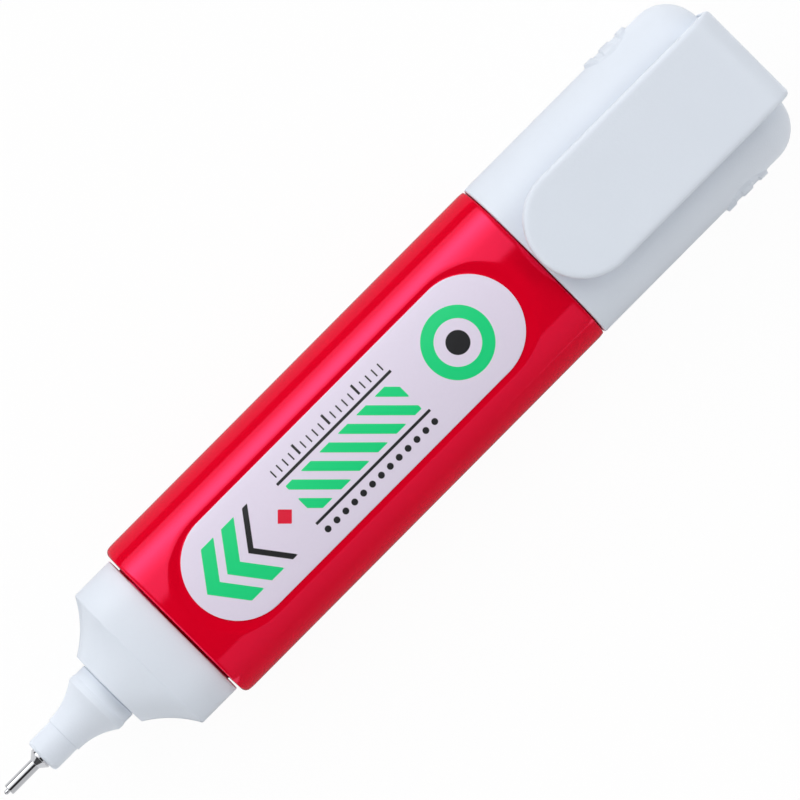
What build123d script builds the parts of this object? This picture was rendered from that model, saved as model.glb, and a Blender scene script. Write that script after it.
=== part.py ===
from build123d import *

import math
import os

# Correction pen with a squeeze barrel and a sprung needle valve, in millimetres.
# It lies on its back with its cap pushed onto its tail: +X runs from the needle point to
# the cap's closed end, and +Z points up, out of the front label and the pocket clip.
# The origin is below the middle of the pen, on the surface that it lies on.
# While it is drawn, X is 0 at the barrel's front face and Z is 0 on the pen's long axis.

# Oval section of the barrel and the cap: two crown arcs and two side arcs
section_width = 24.0
section_depth = 16.0
crown_half_angle = 11.5

# Barrel
barrel_length = 60.95
barrel_wall = 1.3
barrel_front_wall = 1.5
barrel_front_round = 0.6
barrel_rear_round = 0.6
neck_length = 5.0
neck_wall = 1.3
bead_height = 0.25
bead_width = 0.9
bead_from_barrel = 2.4
tail_length = 7.0
tail_round = 0.8

# Labels, one on each broad face, in a shallow recess
label_width = 13.73
label_front_margin = 3.62
label_rear_margin = 4.78
label_thickness = 0.12
recess_depth = 0.3
recess_margin = 0.6

# Nozzle shoulder
shoulder_gap = 0.22
shoulder_base_length = 5.84
shoulder_flank_length = 5.02
shoulder_flank_turn = 31.0
shoulder_front_diameter = 11.0
shoulder_front_round = 0.2
shoulder_rear_round = 0.15
skirt_wall = 1.57
skirt_fit = 0.03
gasket_thickness = 0.7
flank_sections = 6

# Nose cone
cone_ring_diameter = 8.25
cone_ring_length = 2.54
cone_ridge = 0.1
cone_ridge_width = 0.7
cone_groove_width = 0.15
cone_groove_depth = 0.2
cone_flare_length = 5.17
nose_step = 0.17
nose_cylinder_diameter = 4.66
nose_cylinder_length = 3.77
nose_round = 0.45
spigot_diameter = 6.0
spigot_length = 4.0
spigot_grip = 2.3
spigot_room = 0.4
chamber_diameter = 3.4

# Metal tip
tip_tube_diameter = 1.5
tip_tube_length = 4.44
tip_tube_round = 0.15
tip_cone_length = 0.62
tip_flange_diameter = 2.9
tip_flange_thickness = 0.5
tip_shank_diameter = 2.0
tip_shank_length = 4.5
tip_shank_bore = 1.2
tip_shank_reach = 0.4
press_clearance = 0.01

# Needle valve
needle_diameter = 0.68
needle_reach = 0.64
needle_fit = 0.05
needle_hold = 2.0
plunger_diameter = 2.4
plunger_length = 2.5
stem_diameter = 1.0
stem_setback = 0.6
spring_wire = 0.3
spring_diameter = 2.2
spring_turns = 6
spring_end_gap = 0.02
seat_diameter = 4.4
seat_length = 3.0
seat_fit = 0.05
flow_hole_diameter = 0.7
flow_hole_circle = 2.3
flow_holes = 4

# Mixing ball
ball_diameter = 6.0
ball_clearance = 0.15

# Cap
cap_wall = 1.15
cap_fit = 0.05
cap_gap = 0.2
cap_end_wall = 2.0
cap_end_round = 4.8
cap_mouth_round = 0.25
inner_cap_wall = 1.3
inner_cap_fit = 0.05
inner_cap_entry = 0.35
inner_cap_lead = 0.5
socket_wall = 1.2
socket_depth = 4.0
tip_pad_length = 3.69
tip_pad_gap = 0.2
tip_pad_dimple = 0.5

# Finger grips on the cap's narrow sides
grip_diameter = 6.95
grip_from_end = 10.35
grip_floor = 0.22
grip_rib_height = 0.43
grip_rib_width = 1.6
grip_rib_space = 1.15
grip_ribs = 3

# Pocket clip
clip_width = 14.05
clip_thickness = 1.7
clip_gap = 2.1
clip_overhang = 0.83
clip_tip_reach = 0.05
clip_tip_length = 6.9
clip_bend = 3.3
clip_inner_bend = 1.5
clip_edge_round = 0.4
clip_root_drop = 1.0
clip_seat_length = 3.5
clip_seat_inset = 0.15
clip_corner_clearance = 0.3
clip_bead_radius = 2.2
clip_bead_gap = 0.4
clip_bead_inset = 2.0

# Places along X, forwards from the barrel's front face at 0
tail_inset = cap_wall + cap_fit
neck_inset = tail_inset + skirt_wall + skirt_fit
mouth_inset = neck_inset + neck_wall
shoulder_rear_x = -shoulder_gap
flank_x = shoulder_rear_x - shoulder_base_length
shoulder_front_x = flank_x - shoulder_flank_length
ring_x = shoulder_front_x - cone_ring_length
step_x = ring_x - cone_flare_length
nose_x = step_x - nose_cylinder_length
flange_x = nose_x - tip_flange_thickness
tube_x = flange_x - tip_cone_length
tube_end_x = tube_x - tip_tube_length
needle_x = tube_end_x - needle_reach
ledge_x = -neck_length - gasket_thickness
spigot_rear_x = shoulder_front_x + spigot_length
valve_x = nose_x + tip_shank_length
plunger_rear_x = valve_x + plunger_length
seat_x = spigot_rear_x - seat_length

# Places along X, backwards from the barrel
tail_x = barrel_length + tail_length
cap_x = barrel_length + cap_gap
cap_depth = tip_pad_gap + tip_pad_length - needle_x - cap_gap
cap_floor_x = cap_x + cap_depth
cap_end_x = cap_floor_x + cap_end_wall
clip_end_x = cap_end_x + clip_overhang
clip_tip_x = cap_x - clip_tip_reach
inner_cap_x = cap_x - step_x - cap_gap + inner_cap_entry
grip_x = cap_end_x - grip_from_end

# Half sizes and radii that several pieces share, the overlap that joins two cuts and a hair's breadth
half_width = section_width / 2
half_depth = section_depth / 2
nose_radius = nose_cylinder_diameter / 2
needle_radius = needle_diameter / 2
spigot_radius = spigot_diameter / 2
seat_radius = seat_diameter / 2
stem_radius = stem_diameter / 2
inner_cap_radius = nose_radius + inner_cap_fit + inner_cap_wall
ball_radius = ball_diameter / 2
overlap = 1.0
hair = 1e-4
row_shift = Pos(-(needle_x + clip_end_x) / 2, 0, half_depth)


def oval_face(x, across, deep):
    """Oval across the pen at x, from its half sizes: four arcs that meet tangentially."""
    turn = math.radians(crown_half_angle)
    spread = (across - deep) / (math.sin(turn) + math.cos(turn) - 1)
    side_radius = across - spread * math.sin(turn)
    y = (side_radius + spread) * math.sin(turn)
    z = side_radius * math.cos(turn)
    arcs = [
        ThreePointArc((x, y, z), (x, 0, deep), (x, -y, z)),
        ThreePointArc((x, -y, z), (x, -across, 0), (x, -y, -z)),
        ThreePointArc((x, -y, -z), (x, 0, -deep), (x, y, -z)),
        ThreePointArc((x, y, -z), (x, across, 0), (x, y, z)),
    ]
    return Face(Wire(arcs))


def oval_prism(inset, x_low, x_high):
    """Straight oval solid that lies inset inside the outer section."""
    face = oval_face(x_low, half_width - inset, half_depth - inset)
    return extrude(face, amount=x_high - x_low, dir=(1, 0, 0))


def rod(radius, x_low, x_high):
    """Round solid on the pen's axis."""
    return Part() + Solid.make_cylinder(radius, x_high - x_low, Plane((x_low, 0, 0), z_dir=(1, 0, 0)))


def turned(outline):
    """Solid turned about the pen's axis from the edges of a closed outline in X and Y."""
    return revolve(Face(Wire(outline)), axis=Axis.X)


def turned_points(points):
    """Solid turned about the pen's axis from the corners of its outline."""
    return turned(Polyline(*points, close=True).edges())


def edges_at(part, x):
    """Edges that lie in the plane across the pen at x."""
    return part.edges().filter_by_position(Axis.X, x - hair, x + hair)


def slot_prism(margin):
    """Upright solid on the label's outline, grown by margin, from the axis upwards."""
    x_low = label_front_margin
    x_high = barrel_length - label_rear_margin
    outline = SlotOverall(x_high - x_low + 2 * margin, label_width + 2 * margin)
    return extrude(Pos((x_low + x_high) / 2, 0, 0) * outline, amount=section_depth)


def barrel_reservoir():
    """Hollow of the barrel: the body, the neck's mouth and the tail."""
    rear = barrel_length - barrel_wall
    body = oval_prism(barrel_wall, barrel_front_wall, rear)
    mouth = oval_prism(mouth_inset, -neck_length, barrel_front_wall + overlap)
    tail = oval_prism(tail_inset + barrel_wall, rear - overlap, tail_x - barrel_wall)
    return body + mouth + tail


def make_barrel():
    """Squeeze barrel in one piece with its neck and its tail, and a recess for each label."""
    body = oval_prism(0, 0, barrel_length)
    body = fillet(edges_at(body, 0), barrel_front_round)
    body = fillet(edges_at(body, barrel_length), barrel_rear_round)
    tail = oval_prism(tail_inset, barrel_length - overlap, tail_x)
    tail = fillet(edges_at(tail, tail_x), tail_round)
    neck = oval_prism(neck_inset, -neck_length, overlap)
    bead_x = -bead_from_barrel - bead_width / 2
    bead = oval_prism(neck_inset - bead_height, bead_x, bead_x + bead_width)
    recess = slot_prism(recess_margin) - oval_prism(recess_depth, -overlap, tail_x)
    barrel = body + tail + neck + bead - barrel_reservoir()
    return barrel - recess - mirror(recess, about=Plane.XY)


def make_label():
    """Film that follows the floor of the front recess."""
    floor = oval_prism(recess_depth, 0, barrel_length)
    film = oval_prism(recess_depth - label_thickness, 0, barrel_length)
    return (slot_prism(0) & film) - floor


def flank_faces():
    """Ovals along the shoulder's hollow flank, from its base to its round front."""
    base_across = half_width - tail_inset
    base_deep = half_depth - tail_inset
    front = shoulder_front_diameter / 2
    rise = base_across - front
    middle = math.atan2(rise, shoulder_flank_length)
    half_turn = math.radians(shoulder_flank_turn) / 2
    radius = math.hypot(rise, shoulder_flank_length) / (2 * math.sin(half_turn))
    faces = []
    for i in range(flank_sections):
        angle = middle + half_turn * (1 - 2 * i / (flank_sections - 1))
        x = shoulder_front_x + radius * (math.sin(angle) - math.sin(middle - half_turn))
        across = front + radius * (math.cos(middle - half_turn) - math.cos(angle))
        share = (across - front) / rise
        faces.append(oval_face(x, across, front + share * (base_deep - front)))
    return faces


def make_nozzle_shoulder():
    """Oval shoulder that snaps over the barrel's neck and carries the nose cone."""
    base = oval_prism(tail_inset, flank_x, shoulder_rear_x)
    base = fillet(edges_at(base, shoulder_rear_x), shoulder_rear_round)
    flank = loft(flank_faces())
    flank = fillet(edges_at(flank, shoulder_front_x), shoulder_front_round)
    skirt = oval_prism(neck_inset - skirt_fit, ledge_x, 0)
    groove_inset = neck_inset - bead_height - skirt_fit
    groove_half = bead_width / 2 + skirt_fit
    groove = oval_prism(groove_inset, -bead_from_barrel - groove_half, -bead_from_barrel + groove_half)
    funnel_x = shoulder_front_x + spigot_grip
    room = spigot_radius + spigot_room
    mouth = oval_face(ledge_x, half_width - mouth_inset, half_depth - mouth_inset)
    funnel = loft([mouth, oval_face(funnel_x, room, room)])
    hollow = skirt + groove + funnel + rod(room, funnel_x, ledge_x + overlap)
    bore = rod(spigot_radius + press_clearance, shoulder_front_x - overlap, funnel_x + overlap)
    return base + flank - hollow - bore


def make_neck_gasket():
    """Flat oval ring between the neck's rim and the shoulder."""
    ring = oval_prism(neck_inset, ledge_x, -neck_length)
    return ring - oval_prism(mouth_inset, ledge_x, -neck_length)


def make_nose_cone():
    """Round nose with a hollow flare, pressed into the shoulder by its spigot."""
    ring = cone_ring_diameter / 2
    flare_low = nose_radius + nose_step
    flare_high = ring + cone_ridge
    rise = flare_high - flare_low
    flare_radius = (cone_flare_length**2 + rise**2) / (2 * rise)
    flare_turn = math.asin(cone_flare_length / flare_radius) / 2
    middle_x = step_x + flare_radius * math.sin(flare_turn)
    middle_y = flare_low + flare_radius * (1 - math.cos(flare_turn))
    flare = ThreePointArc((step_x, flare_low), (middle_x, middle_y), (ring_x, flare_high))
    rest = Polyline(
        (ring_x, flare_high),
        (ring_x + cone_ridge_width, flare_high),
        (ring_x + cone_ridge_width + cone_ridge, ring),
        (shoulder_front_x - cone_groove_width, ring),
        (shoulder_front_x - cone_groove_width, ring - cone_groove_depth),
        (shoulder_front_x, ring - cone_groove_depth),
        (shoulder_front_x, spigot_radius),
        (spigot_rear_x, spigot_radius),
        (spigot_rear_x, 0),
        (nose_x, 0),
        (nose_x, nose_radius),
        (step_x, nose_radius),
        (step_x, flare_low),
    )
    cone = turned([flare] + list(rest.edges()))
    cone = fillet(edges_at(cone, nose_x), nose_round)
    tip_bore = rod(tip_shank_diameter / 2 + press_clearance, nose_x - overlap, valve_x)
    chamber = rod(chamber_diameter / 2, valve_x - tip_shank_reach, seat_x)
    seat_bore = rod(seat_radius + press_clearance, seat_x, spigot_rear_x + overlap)
    return cone - tip_bore - chamber - seat_bore


def make_metal_tip():
    """Metal tube with a flared foot and a shank, bored for the needle."""
    tube = tip_tube_diameter / 2
    bore = needle_radius + needle_fit
    shank = tip_shank_diameter / 2
    return turned_points([
        (tube_end_x, bore),
        (tube_end_x, tube - tip_tube_round),
        (tube_end_x + tip_tube_round, tube),
        (tube_x, tube),
        (flange_x, tip_flange_diameter / 2),
        (nose_x, tip_flange_diameter / 2),
        (nose_x, shank),
        (valve_x, shank),
        (valve_x, tip_shank_bore / 2),
        (flange_x, tip_shank_bore / 2),
        (flange_x, bore),
    ])


def make_needle_wire():
    """Needle with a round point, held in the front of the plunger."""
    wire = rod(needle_radius, needle_x + needle_radius, valve_x + needle_hold)
    return wire + Pos(needle_x + needle_radius, 0, 0) * Sphere(needle_radius)


def make_needle_plunger():
    """Plunger that closes the tip's shank, with a stem that the spring goes round."""
    body = rod(plunger_diameter / 2, valve_x, plunger_rear_x)
    stem = rod(stem_radius, plunger_rear_x - overlap, spigot_rear_x - stem_setback)
    return body + stem - rod(needle_radius + press_clearance, valve_x - overlap, valve_x + needle_hold)


def make_spring_seat():
    """Plug behind the spring, with a guide hole for the stem and holes for the fluid."""
    seat = rod(seat_radius, seat_x, spigot_rear_x)
    seat -= rod(stem_radius + seat_fit, seat_x, spigot_rear_x)
    for angle in range(0, 360, 360 // flow_holes):
        hole = rod(flow_hole_diameter / 2, seat_x, spigot_rear_x)
        seat -= Rot(angle, 0, 0) * Pos(0, flow_hole_circle / 2, 0) * hole
    return seat


def spring_point(angle, radius, x_start, climb):
    """Point and direction on the spring's centre line after turning by angle."""
    point = Vector(x_start + climb * angle, radius * math.cos(angle), radius * math.sin(angle))
    way = Vector(climb, -radius * math.sin(angle), radius * math.cos(angle))
    return point, way.normalized()


def biarc(start, start_way, end, end_way):
    """Two arcs that leave start and reach end along the given directions."""
    across = end - start
    ways = start_way + end_way
    spread = 2 * (1 - start_way.dot(end_way))
    middle = across.dot(ways)
    reach = (math.sqrt(middle**2 + spread * across.dot(across)) - middle) / spread
    join = (start + start_way * reach + end - end_way * reach) * 0.5
    join_way = (end - end_way * reach - start - start_way * reach).normalized()
    return [Edge.make_tangent_arc(start, start_way, join), Edge.make_tangent_arc(join, join_way, end)]


def make_valve_spring():
    """Coil spring between the plunger and its seat, swept along quarter-turn biarcs."""
    radius = (spring_diameter - spring_wire) / 2
    x_start = plunger_rear_x + spring_wire / 2 + spring_end_gap
    x_end = seat_x - spring_wire / 2 - spring_end_gap
    climb = (x_end - x_start) / (2 * math.pi * spring_turns)
    stops = [spring_point(i * math.pi / 2, radius, x_start, climb) for i in range(4 * spring_turns + 1)]
    arcs = []
    for first, second in zip(stops, stops[1:]):
        arcs += biarc(*first, *second)
    section = Plane(stops[0][0], z_dir=stops[0][1]) * Circle(spring_wire / 2)
    print("valve spring, least gap to itself:", round(2 * math.pi * climb - spring_wire, 3), "mm")
    return sweep(section, path=Wire(arcs))


def make_mixing_ball():
    """Ball that lies on the reservoir's floor, at its rear end."""
    x = barrel_length - barrel_wall - ball_radius - ball_clearance
    z = ball_radius + ball_clearance - (half_depth - barrel_wall)
    return Pos(x, 0, z) * Sphere(ball_radius)


def grip_ribs_part():
    """Round finger grips on both narrow sides: a low disc with cross ribs."""
    disc = Rot(90, 0, 0) * Cylinder(grip_diameter / 2, section_width + 4 * grip_rib_height)
    disc = Pos(grip_x, 0, 0) * disc
    pitch = grip_rib_width + grip_rib_space
    bars = Part()
    for i in range(grip_ribs):
        x = grip_x + (i - (grip_ribs - 1) / 2) * pitch
        bars += Pos(x, 0, 0) * Box(grip_rib_width, 2 * section_width, grip_diameter)
    x_low = grip_x - grip_diameter
    x_high = grip_x + grip_diameter
    floors = disc & oval_prism(-grip_floor, x_low, x_high)
    return floors + (disc & oval_prism(-grip_rib_height, x_low, x_high) & bars)


def clip_seat():
    """Block on the cap's closed end that the clip's bend lies over."""
    width = clip_width - 2 * clip_seat_inset
    place = (Align.MAX, Align.CENTER, Align.MIN)
    seat = Pos(cap_end_x, 0, 0) * Box(clip_seat_length, width, half_depth + clip_gap, align=place)
    corner = edges_at(seat, cap_end_x).group_by(Axis.Z)[-1]
    return fillet(corner, clip_inner_bend + clip_corner_clearance)


def make_cap_shell():
    """Cap with a rounded closed end, finger grips and a socket for the inner cap."""
    shell = oval_prism(0, cap_x, cap_end_x)
    shell = fillet(edges_at(shell, cap_end_x), cap_end_round)
    shell = fillet(edges_at(shell, cap_x), cap_mouth_round)
    hollow = oval_prism(cap_wall, cap_x - overlap, cap_floor_x)
    hollow = fillet(edges_at(hollow, cap_floor_x), cap_end_round - cap_wall)
    socket_radius = inner_cap_radius + press_clearance
    socket_x = cap_floor_x - socket_depth
    socket = rod(socket_radius + socket_wall, socket_x, cap_floor_x + overlap)
    hollow -= socket
    hollow += rod(socket_radius, socket_x - overlap, cap_floor_x)
    return shell + grip_ribs_part() + clip_seat() - hollow


def make_inner_cap():
    """Sleeve that closes round the nose cylinder when the cap covers the nozzle."""
    bore = nose_radius + inner_cap_fit
    return turned_points([
        (inner_cap_x, bore + inner_cap_lead),
        (inner_cap_x, inner_cap_radius),
        (cap_floor_x, inner_cap_radius),
        (cap_floor_x, bore),
        (inner_cap_x + inner_cap_lead, bore),
    ])


def make_tip_pad():
    """Soft pad in the bottom of the inner cap, dished for the tip."""
    radius = nose_radius + inner_cap_fit - press_clearance
    return turned_points([
        (cap_floor_x - tip_pad_length + tip_pad_dimple, 0),
        (cap_floor_x - tip_pad_length, radius / 2),
        (cap_floor_x - tip_pad_length, radius),
        (cap_floor_x, radius),
        (cap_floor_x, 0),
    ])


def clip_side_outline():
    """Outline of the clip from the side: arm, bend, end wall and rounded root."""
    under = half_depth + clip_gap
    top = under + clip_thickness
    root_radius = clip_overhang / 2
    root_z = -clip_root_drop
    inner_x = cap_end_x - clip_inner_bend
    inner_z = under - clip_inner_bend
    outer_x = clip_end_x - clip_bend
    outer_z = top - clip_bend
    diagonal = math.sqrt(0.5)
    return [
        Line((clip_tip_x, 0, under), (inner_x, 0, under)),
        ThreePointArc(
            (inner_x, 0, under),
            (inner_x + clip_inner_bend * diagonal, 0, inner_z + clip_inner_bend * diagonal),
            (cap_end_x, 0, inner_z),
        ),
        Line((cap_end_x, 0, inner_z), (cap_end_x, 0, root_z)),
        ThreePointArc(
            (cap_end_x, 0, root_z),
            (cap_end_x + root_radius, 0, root_z - root_radius),
            (clip_end_x, 0, root_z),
        ),
        Line((clip_end_x, 0, root_z), (clip_end_x, 0, outer_z)),
        ThreePointArc(
            (clip_end_x, 0, outer_z),
            (outer_x + clip_bend * diagonal, 0, outer_z + clip_bend * diagonal),
            (outer_x, 0, top),
        ),
        Line((outer_x, 0, top), (clip_tip_x, 0, top)),
        Line((clip_tip_x, 0, top), (clip_tip_x, 0, under)),
    ]


def clip_plan():
    """Upright solid on the clip's outline from above: straight sides and a half-oval tip."""
    half = clip_width / 2
    shoulder_x = clip_tip_x + clip_tip_length
    tip = EllipticalCenterArc((shoulder_x, 0), clip_tip_length, half, 90, arc_size=180)
    rear_x = clip_end_x + overlap
    sides = Polyline((shoulder_x, -half), (rear_x, -half), (rear_x, half), (shoulder_x, half))
    face = Face(Wire([tip] + list(sides.edges())))
    return Pos(0, 0, -section_depth) * extrude(face, amount=3 * section_depth)


def make_pocket_clip():
    """Springy clip: a flat arm over the cap that bends down behind the cap's end."""
    side = Face(Wire(clip_side_outline()))
    clip = extrude(side, amount=clip_width / 2, dir=(0, 1, 0), both=True) & clip_plan()
    top_z = half_depth + clip_gap + clip_thickness
    rim = clip.edges().filter_by_position(Axis.Z, top_z - hair, top_z + hair)
    clip = fillet(rim.filter_by(Axis.Y, reverse=True), clip_edge_round)
    bead_x = clip_tip_x + clip_tip_length
    bead_z = half_depth + clip_bead_gap + clip_bead_radius
    bead = Rot(90, 0, 0) * Cylinder(clip_bead_radius, clip_width - 2 * clip_bead_inset)
    bead = Pos(bead_x, 0, bead_z) * bead
    slab_z = half_depth + clip_gap + clip_thickness / 2
    slab = Pos(bead_x, 0, slab_z) * Box(
        section_width, section_width, section_depth, align=(Align.CENTER, Align.CENTER, Align.MAX)
    )
    return clip + (bead & slab)


front_label = make_label()
pieces = {
    "barrel": make_barrel(),
    "front_label": front_label,
    "back_label": mirror(front_label, about=Plane.XY),
    "nozzle_shoulder": make_nozzle_shoulder(),
    "neck_gasket": make_neck_gasket(),
    "nose_cone": make_nose_cone(),
    "metal_tip": make_metal_tip(),
    "needle_wire": make_needle_wire(),
    "needle_plunger": make_needle_plunger(),
    "valve_spring": make_valve_spring(),
    "spring_seat": make_spring_seat(),
    "mixing_ball": make_mixing_ball(),
    "cap_shell": make_cap_shell(),
    "inner_cap": make_inner_cap(),
    "tip_pad": make_tip_pad(),
    "pocket_clip": make_pocket_clip(),
}

os.makedirs("parts", exist_ok=True)
for name, piece in pieces.items():
    export_step(row_shift * piece, f"parts/{name}.step")
print("reservoir:", round(barrel_reservoir().volume / 1000, 2), "ml")
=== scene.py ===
"""Looks of a squeeze correction pen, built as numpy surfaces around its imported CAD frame."""
import math

import bmesh
import bpy
import numpy as np
from bpy.props import FloatProperty, FloatVectorProperty, IntProperty, PointerProperty
from mathutils import Matrix, Vector


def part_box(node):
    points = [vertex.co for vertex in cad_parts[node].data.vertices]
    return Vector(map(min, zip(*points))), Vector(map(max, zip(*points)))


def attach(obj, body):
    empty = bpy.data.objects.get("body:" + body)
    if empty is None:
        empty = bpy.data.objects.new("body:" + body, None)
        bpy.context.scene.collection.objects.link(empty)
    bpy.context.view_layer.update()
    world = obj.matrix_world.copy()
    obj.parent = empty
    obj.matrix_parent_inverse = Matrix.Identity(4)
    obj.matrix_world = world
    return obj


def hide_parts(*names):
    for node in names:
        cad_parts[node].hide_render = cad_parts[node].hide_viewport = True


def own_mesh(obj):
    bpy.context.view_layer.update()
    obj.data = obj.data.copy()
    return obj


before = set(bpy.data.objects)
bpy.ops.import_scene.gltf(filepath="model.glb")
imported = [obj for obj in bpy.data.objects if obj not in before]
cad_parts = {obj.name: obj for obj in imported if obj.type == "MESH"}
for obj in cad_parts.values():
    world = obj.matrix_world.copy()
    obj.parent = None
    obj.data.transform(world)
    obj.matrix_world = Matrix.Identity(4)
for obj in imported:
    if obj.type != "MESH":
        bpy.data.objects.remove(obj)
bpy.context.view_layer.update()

bl_info = {
    "name": "Correction pen looks",
    "version": (1, 0, 0),
    "blender": (4, 5, 0),
    "location": "View3D > Sidebar > Pen",
    "description": "Builds the mouldings, the metal tip, the labels and the stage of a correction pen",
    "category": "Object",
}

MM = 0.001
MERGE_DISTANCE = 1e-7

# Boxes of the CAD nodes that the new pieces stand for
BARREL_LOW, BARREL_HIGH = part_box("barrel")
LABEL_LOW, LABEL_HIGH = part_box("front_label")
SHOULDER_LOW, SHOULDER_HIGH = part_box("nozzle_shoulder")
CONE_LOW, CONE_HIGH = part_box("nose_cone")
TIP_LOW, TIP_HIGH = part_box("metal_tip")
NEEDLE_LOW, NEEDLE_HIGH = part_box("needle_wire")
SEAT_LOW, SEAT_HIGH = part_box("spring_seat")
CAP_LOW, CAP_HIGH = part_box("cap_shell")
INNER_CAP_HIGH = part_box("inner_cap")[1]
CLIP_LOW, CLIP_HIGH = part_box("pocket_clip")

# The oval section that the barrel and the cap share, and how far the smaller ovals lie inside it
HALF_WIDTH = BARREL_HIGH.y
HALF_DEPTH = (BARREL_HIGH.z - BARREL_LOW.z) / 2
AXIS_Z = BARREL_LOW.z + HALF_DEPTH
CROWN_HALF_ANGLE = math.radians(11.5)
CAP_WALL = 1.15 * MM
TAIL_INSET = 1.2 * MM
SKIRT_INSET = 2.77 * MM
NECK_INSET = 2.8 * MM
MOUTH_INSET = 4.1 * MM
SPIGOT_RADIUS = 3.0 * MM
TIP_SHANK_RADIUS = 1.0 * MM
PRESS_GAP = 0.01 * MM
CLIP_GAP = 0.02 * MM

# Places along X
NECK_LENGTH = 5.0 * MM
TAIL_LENGTH = 7.0 * MM
BARREL_FRONT = BARREL_LOW.x + NECK_LENGTH
BARREL_REAR = BARREL_HIGH.x - TAIL_LENGTH
LABEL_MIDDLE = (LABEL_LOW.x + LABEL_HIGH.x) / 2
LABEL_HALF_LENGTH = (LABEL_HIGH.x - LABEL_LOW.x) / 2
LABEL_HALF_WIDTH = LABEL_HIGH.y


# Settings


def linear(hex_colour):
    """Linear RGB of an sRGB hex colour: c / 12.92 when dark, else ((c + 0.055) / 1.055) to the power 2.4."""
    channels = [int(hex_colour[i : i + 2], 16) / 255 for i in (1, 3, 5)]
    return tuple(c / 12.92 if c <= 0.04045 else ((c + 0.055) / 1.055) ** 2.4 for c in channels)


def length(name, description, millimetres):
    """A size that a user may change, kept in metres and shown as a distance."""
    return FloatProperty(
        name=name,
        description=description,
        default=millimetres * MM,
        unit="LENGTH",
        subtype="DISTANCE",
        precision=5,
    )


def turning(name, description, degrees):
    """An angle that a user may change, kept in radians."""
    return FloatProperty(
        name=name, description=description, default=math.radians(degrees), unit="ROTATION", subtype="ANGLE"
    )


def colour(name, description, hex_colour):
    """A colour that a user may change."""
    return FloatVectorProperty(
        name=name, description=description, default=linear(hex_colour), size=3, min=0, max=1, subtype="COLOR"
    )


class BarrelSettings(bpy.types.PropertyGroup):
    """Sizes and colour of the squeeze barrel."""

    front_slant: length("Front slant", "How far the front face leans back at its rim", 0.12)
    front_round: length("Front round", "Radius of the front rim on the broad faces", 0.15)
    front_side_round: length("Front side round", "Radius of the front rim on the narrow sides", 0.8)
    front_ease: length("Front ease", "Length of the soft fall towards the front rim on the broad faces", 0.6)
    front_side_ease: length("Front side ease", "Length of that fall on the narrow sides", 1.1)
    front_drop: length("Front drop", "Depth of that fall", 0.13)
    rear_round: length("Rear round", "Radius of the rear rim", 0.15)
    rear_ease: length("Rear ease", "Length of the soft fall towards the rear rim", 0.5)
    rear_drop: length("Rear drop", "Depth of that fall", 0.105)
    tail_round: length("Tail round", "Radius of the tail's end", 0.8)
    wall: length("Wall", "Thickness of the squeezed wall", 1.3)
    front_wall: length("Front wall", "Thickness of the wall behind the front face", 1.5)
    recess_depth: length("Recess depth", "Depth of the label's recess", 0.3)
    recess_margin: length("Recess margin", "Flat floor shown beside the label", 0.05)
    recess_wall: length("Recess wall", "Width of the soft step along the recess", 0.95)
    recess_end: length("Recess end", "Length of the soft step at each end of the recess", 2.25)
    colour: colour("Red", "Colour of the barrel's plastic", "#F00025")


class LabelSettings(bpy.types.PropertyGroup):
    """Sizes and inks of the two labels."""

    thickness: length("Thickness", "Thickness of the film", 0.12)
    film: colour("Film", "Colour of the bare film", "#E4DBED")
    green: colour("Green ink", "Colour of the green ink", "#10D47F")
    black: colour("Black ink", "Colour of the black ink", "#1B1B1E")
    red: colour("Red ink", "Colour of the red ink", "#E01336")


class NozzleSettings(bpy.types.PropertyGroup):
    """Sizes of the shoulder and the nose cone."""

    base_length: length("Base length", "Straight base of the shoulder", 5.84)
    front_diameter: length("Front diameter", "Round front of the shoulder", 11.0)
    flank_turn: turning("Flank turn", "Angle that the hollow flank turns through", 31)
    crease_round: length("Crease round", "Radius of the crease between the base and the flank", 0.25)
    front_round: length("Front round", "Radius of the shoulder's front rim", 0.2)
    rear_round: length("Rear round", "Radius of the shoulder's rear rim", 0.15)
    spigot_grip: length("Spigot grip", "Depth of the bore that grips the nose cone", 2.3)
    gasket: length("Gasket", "Room for the gasket in front of the neck", 0.7)
    ring_diameter: length("Ring diameter", "Ring at the foot of the nose cone", 8.25)
    ring_length: length("Ring length", "Length of that ring", 2.54)
    ridge_width: length("Ridge width", "Raised band at the front of the ring", 0.7)
    flare_length: length("Flare length", "Length of the hollow flare", 5.17)
    nose_step: length("Nose step", "Step between the flare and the straight end", 0.17)
    nose_diameter: length("Nose diameter", "Straight end of the nose cone", 4.66)
    nose_round: length("Nose round", "Radius of the nose's rim", 0.45)


class TipSettings(bpy.types.PropertyGroup):
    """Sizes and colour of the metal tip, its needle and its spring."""

    tube_diameter: length("Tube diameter", "Outside of the tube", 1.5)
    tube_bore: length("Tube bore", "Hole that the needle runs in", 0.78)
    foot_length: length("Foot length", "Flare at the foot of the tube", 0.82)
    flange_thickness: length("Flange thickness", "Disc that sits on the nose", 0.3)
    point_diameter: length("Point diameter", "Round point of the needle, turned down from the wire", 0.58)
    spring_wire: length("Spring wire", "Thickness of the valve spring's wire", 0.3)
    spring_turns: IntProperty(name="Spring turns", description="Turns of the valve spring", default=6, min=1)
    steel: colour("Steel", "Colour of the polished steel", "#C9CACE")


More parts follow.
